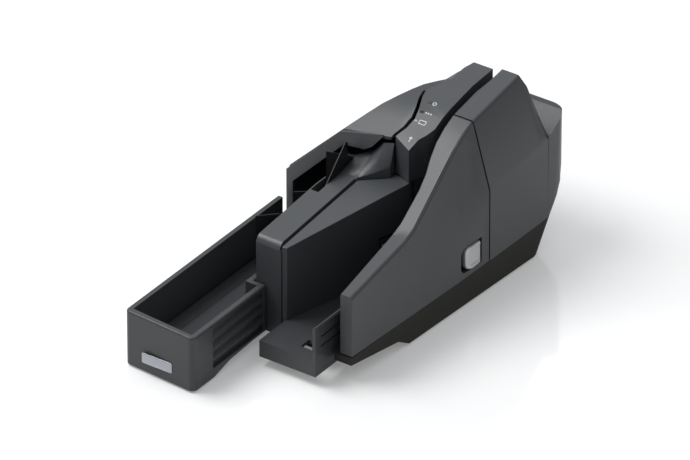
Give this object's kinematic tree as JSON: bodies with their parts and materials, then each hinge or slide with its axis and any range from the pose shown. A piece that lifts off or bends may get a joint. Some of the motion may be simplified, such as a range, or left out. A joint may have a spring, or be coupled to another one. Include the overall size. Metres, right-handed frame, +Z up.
{
  "type": "cheque scanner",
  "caption": "Desk-top cheque scanner with a standing feeder, a U-shaped paper path, an open output pocket and hinged covers.",
  "frame": {"origin": "centre of the footprint at floor level", "axes": "+X to the right, +Y to the rear (away from the feeder), +Z up"},
  "size_m": [0.173, 0.3626, 0.16],
  "materials": {
    "casing_plastic": "fine grained",
    "base_plastic": "fine grained",
    "black_plastic": "satin",
    "guide_plastic": "satin",
    "flap_film": "smooth film",
    "badge_metal": "satin",
    "lamp_window": "clear",
    "lever_silver": "satin silver",
    "steel": "turned",
    "roller_rubber": "matte",
    "foot_rubber": "matte",
    "white_plastic": "satin",
    "motor_can": "satin",
    "sensor_glass": "polished",
    "board_green": "lacquered",
    "socket_metal": "plated"
  },
  "bodies": {
    "casing": {"base_case": "base_plastic", "rubber_feet": "foot_rubber", "pocket_tray": "casing_plastic", "pocket_ramp": "black_plastic", "blank_badge": "badge_metal", "central_block": "casing_plastic", "hopper_guide": "casing_plastic", "exit_flaps": "flap_film", "exit_hood": "casing_plastic", "feeder_tray": "black_plastic", "island_guide": "guide_plastic", "turn_guide": "guide_plastic", "control_panel": "casing_plastic", "lamp_windows": "lamp_window", "cover_hinge_pin": "steel", "rear_housing": "casing_plastic", "inner_frame": "guide_plastic", "deck_screws": "steel", "drive_motor": "motor_can", "drive_belt": "roller_rubber", "front_image_sensor": "sensor_glass", "rear_image_sensor": "sensor_glass", "magnetic_head": "steel", "ink_cartridge": "black_plastic", "circuit_board": "board_green", "power_inlet": "black_plastic", "data_socket": "socket_metal"},
    "right_cover": {"right_front_cover": "casing_plastic", "lever_pin": "steel"},
    "latch_lever": {"latch_lever": "lever_silver"},
    "left_cover": {"left_cover": "casing_plastic", "left_hinge_pin": "steel"},
    "pusher_paddle": {"pusher_paddle": "black_plastic"},
    "pickup_drive": {"pickup_shaft": "steel", "pickup_roller": "roller_rubber"},
    "entry_drive": {"entry_shaft": "steel", "entry_roller": "roller_rubber"},
    "scan_drive": {"scan_shaft": "steel", "scan_roller": "roller_rubber"},
    "exit_drive": {"exit_shaft": "steel", "exit_roller": "roller_rubber"},
    "motor_drive": {"motor_pulley": "steel"},
    "front_pinch": {"front_pinch_roller": "white_plastic"},
    "rear_pinch": {"rear_pinch_roller": "white_plastic"},
    "exit_pinch": {"exit_pinch_roller": "white_plastic"}
  },
  "joints": [
    {"name": "right_cover_swing", "type": "hinge", "parent": "casing", "child": "right_cover", "pos_m": [0.065, -0.0895, 0.045], "axis": [0, 0, 1], "range_deg": [-40, 0]},
    {"name": "latch_lever_press", "type": "hinge", "parent": "right_cover", "child": "latch_lever", "pos_m": [0.0787, 0.0595, 0.042], "axis": [0, 0, 1], "range_deg": [0, 20], "stiffness_Nm_per_rad": 0.02},
    {"name": "left_cover_swing", "type": "hinge", "parent": "casing", "child": "left_cover", "pos_m": [0.0205, 0.1759, 0.08], "axis": [0, 0, 1], "range_deg": [-35, 0]},
    {"name": "paddle_swing", "type": "hinge", "parent": "casing", "child": "pusher_paddle", "pos_m": [0.0469, -0.0185, 0.05], "axis": [0, 0, 1], "range_deg": [0, 16]},
    {"name": "motor_spin", "type": "hinge", "parent": "casing", "child": "motor_drive", "pos_m": [-0.0345, 0.1285, 0.02], "axis": [0, 0, 1], "continuous": true},
    {"name": "pickup_spin", "type": "hinge", "parent": "casing", "child": "pickup_drive", "pos_m": [0.02005, 0.01533, 0.04], "axis": [0, 0, 1], "continuous": true},
    {"name": "entry_spin", "type": "hinge", "parent": "casing", "child": "entry_drive", "pos_m": [0.0371, 0.0635, 0.04], "axis": [0, 0, 1], "continuous": true},
    {"name": "scan_spin", "type": "hinge", "parent": "casing", "child": "scan_drive", "pos_m": [0.0371, 0.1085, 0.04], "axis": [0, 0, 1], "continuous": true},
    {"name": "exit_spin", "type": "hinge", "parent": "casing", "child": "exit_drive", "pos_m": [0.0119, 0.1195, 0.04], "axis": [0, 0, 1], "continuous": true},
    {"name": "front_pinch_spin", "type": "hinge", "parent": "right_cover", "child": "front_pinch", "pos_m": [0.0514, 0.0635, 0.046], "axis": [0, 0, 1], "continuous": true},
    {"name": "rear_pinch_spin", "type": "hinge", "parent": "casing", "child": "rear_pinch", "pos_m": [0.0514, 0.1085, 0.046], "axis": [0, 0, 1], "continuous": true},
    {"name": "exit_pinch_spin", "type": "hinge", "parent": "casing", "child": "exit_pinch", "pos_m": [-0.0024, 0.1195, 0.046], "axis": [0, 0, 1], "continuous": true}
  ],
  "couplings": [
    {"joint": "pickup_spin", "follows": "motor_spin", "ratio": 1},
    {"joint": "entry_spin", "follows": "motor_spin", "ratio": 1},
    {"joint": "scan_spin", "follows": "motor_spin", "ratio": 1},
    {"joint": "exit_spin", "follows": "motor_spin", "ratio": 1},
    {"joint": "front_pinch_spin", "follows": "motor_spin", "ratio": -1.3333},
    {"joint": "rear_pinch_spin", "follows": "motor_spin", "ratio": -1.3333},
    {"joint": "exit_pinch_spin", "follows": "motor_spin", "ratio": -1.3333}
  ]
}
